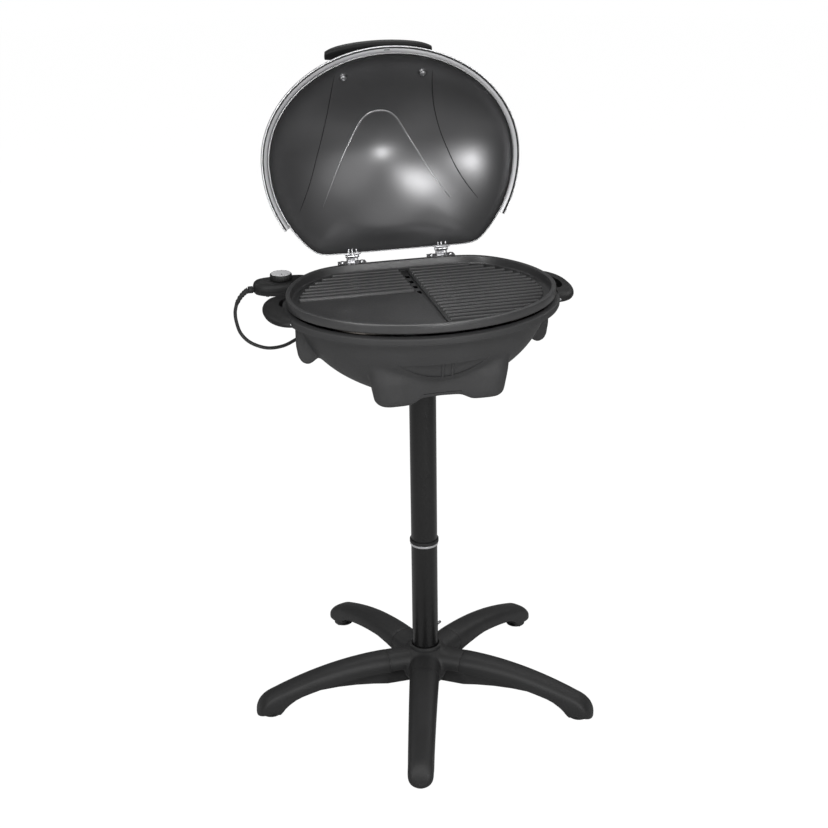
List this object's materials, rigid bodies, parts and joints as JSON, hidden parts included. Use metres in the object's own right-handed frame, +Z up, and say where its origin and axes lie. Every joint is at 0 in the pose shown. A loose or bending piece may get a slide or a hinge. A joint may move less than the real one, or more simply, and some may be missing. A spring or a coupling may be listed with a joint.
{
  "type": "electric indoor grill with lid",
  "caption": "Electric barbecue grill on a column with a five-legged foot: oval bowl, ribbed plate over a heating element, hinged domed lid, plug-in thermostat controller and power cord.",
  "frame": {"origin": "On the floor, on the axis of the column, which is the centre of the circle of the five floor pads.", "axes": "+Z up, +X to the right along the lid's hinge line, -Y the front, where the closed lid's handle is."},
  "size_m": [0.5264, 0.5503, 1.0264],
  "materials": {
    "black_plastic": "satin, lightly textured",
    "black_paint": "satin black",
    "chrome": "polished",
    "steel": "zinc plated",
    "rubber": "matt",
    "cord_rubber": "matt",
    "cast_plate": "non-stick coating, satin",
    "lid_enamel": "satin grey-black",
    "silver_band": "silver paint",
    "pan_metal": "plain",
    "element_sheath": "heat-tinted",
    "ceramic_block": "matt",
    "contact_metal": "plain",
    "probe_steel": "bright",
    "inner_plastic": "matt"
  },
  "bodies": {
    "stand": {"base_hub": "black_plastic", "leg_front": "black_plastic", "leg_right_front": "black_plastic", "leg_right_rear": "black_plastic", "leg_left_rear": "black_plastic", "leg_left_front": "black_plastic", "floor_pads": "rubber", "leg_screws": "steel", "lower_tube": "black_paint", "joint_ring": "chrome", "joint_coupler": "steel", "upper_tube": "black_paint", "tube_foot_insert": "steel", "column_bolt": "steel", "tube_cap": "black_plastic", "cord_drop": "cord_rubber", "cord_coil": "cord_rubber", "coil_tie": "black_plastic", "plug_lead": "cord_rubber", "plug_body": "cord_rubber", "plug_pins": "contact_metal"},
    "head": {"bowl": "black_plastic", "column_socket": "black_plastic", "socket_screws": "steel", "tabletop_pads": "rubber", "handle_left": "black_plastic", "handle_right": "black_plastic", "handle_screws": "steel", "hinge_base_left": "chrome", "hinge_base_right": "chrome", "hinge_screws": "steel", "hinge_pin_left": "chrome", "hinge_pin_right": "chrome"},
    "grease_pan": {"drip_pan": "pan_metal"},
    "plate": {"grill_plate": "cast_plate", "heating_element": "element_sheath", "element_clips": "steel", "terminal_block": "ceramic_block", "terminal_pins": "contact_metal"},
    "lid": {"lid_shell": "lid_enamel", "lid_trim": "silver_band", "lid_seal": "rubber", "hinge_leaf_left": "chrome", "hinge_leaf_right": "chrome", "lid_handle": "black_plastic", "lid_handle_bolts": "steel"},
    "controller": {"controller_base": "black_plastic", "controller_cover": "black_plastic", "controller_screws": "steel", "contact_sleeves": "contact_metal", "thermostat_probe": "probe_steel", "thermostat_switch": "inner_plastic", "cord_gland": "cord_rubber", "strain_relief": "cord_rubber", "cord_loop": "cord_rubber"},
    "knob": {"control_knob": "black_plastic", "knob_cap": "silver_band"}
  },
  "joints": [
    {"name": "head_lift", "type": "slide", "parent": "stand", "child": "head", "axis": [0, 0, 1], "range_m": [0, 0.06]},
    {"name": "lid_hinge", "type": "hinge", "parent": "head", "child": "lid", "pos_m": [0, 0.157, 0.709], "axis": [-1, 0, 0], "range_deg": [-98.9, 0]},
    {"name": "pan_lift", "type": "slide", "parent": "head", "child": "grease_pan", "axis": [0, 0, 1], "range_m": [0, 0.06]},
    {"name": "plate_lift", "type": "slide", "parent": "grease_pan", "child": "plate", "axis": [0, 0, 1], "range_m": [0, 0.06]},
    {"name": "controller_pull", "type": "slide", "parent": "plate", "child": "controller", "axis": [-1, 0, 0], "range_m": [0, 0.065]},
    {"name": "knob_turn", "type": "hinge", "parent": "controller", "child": "knob", "pos_m": [-0.193, 0.122, 0.693], "axis": [0, 0, -1], "range_deg": [0, 270]}
  ]
}
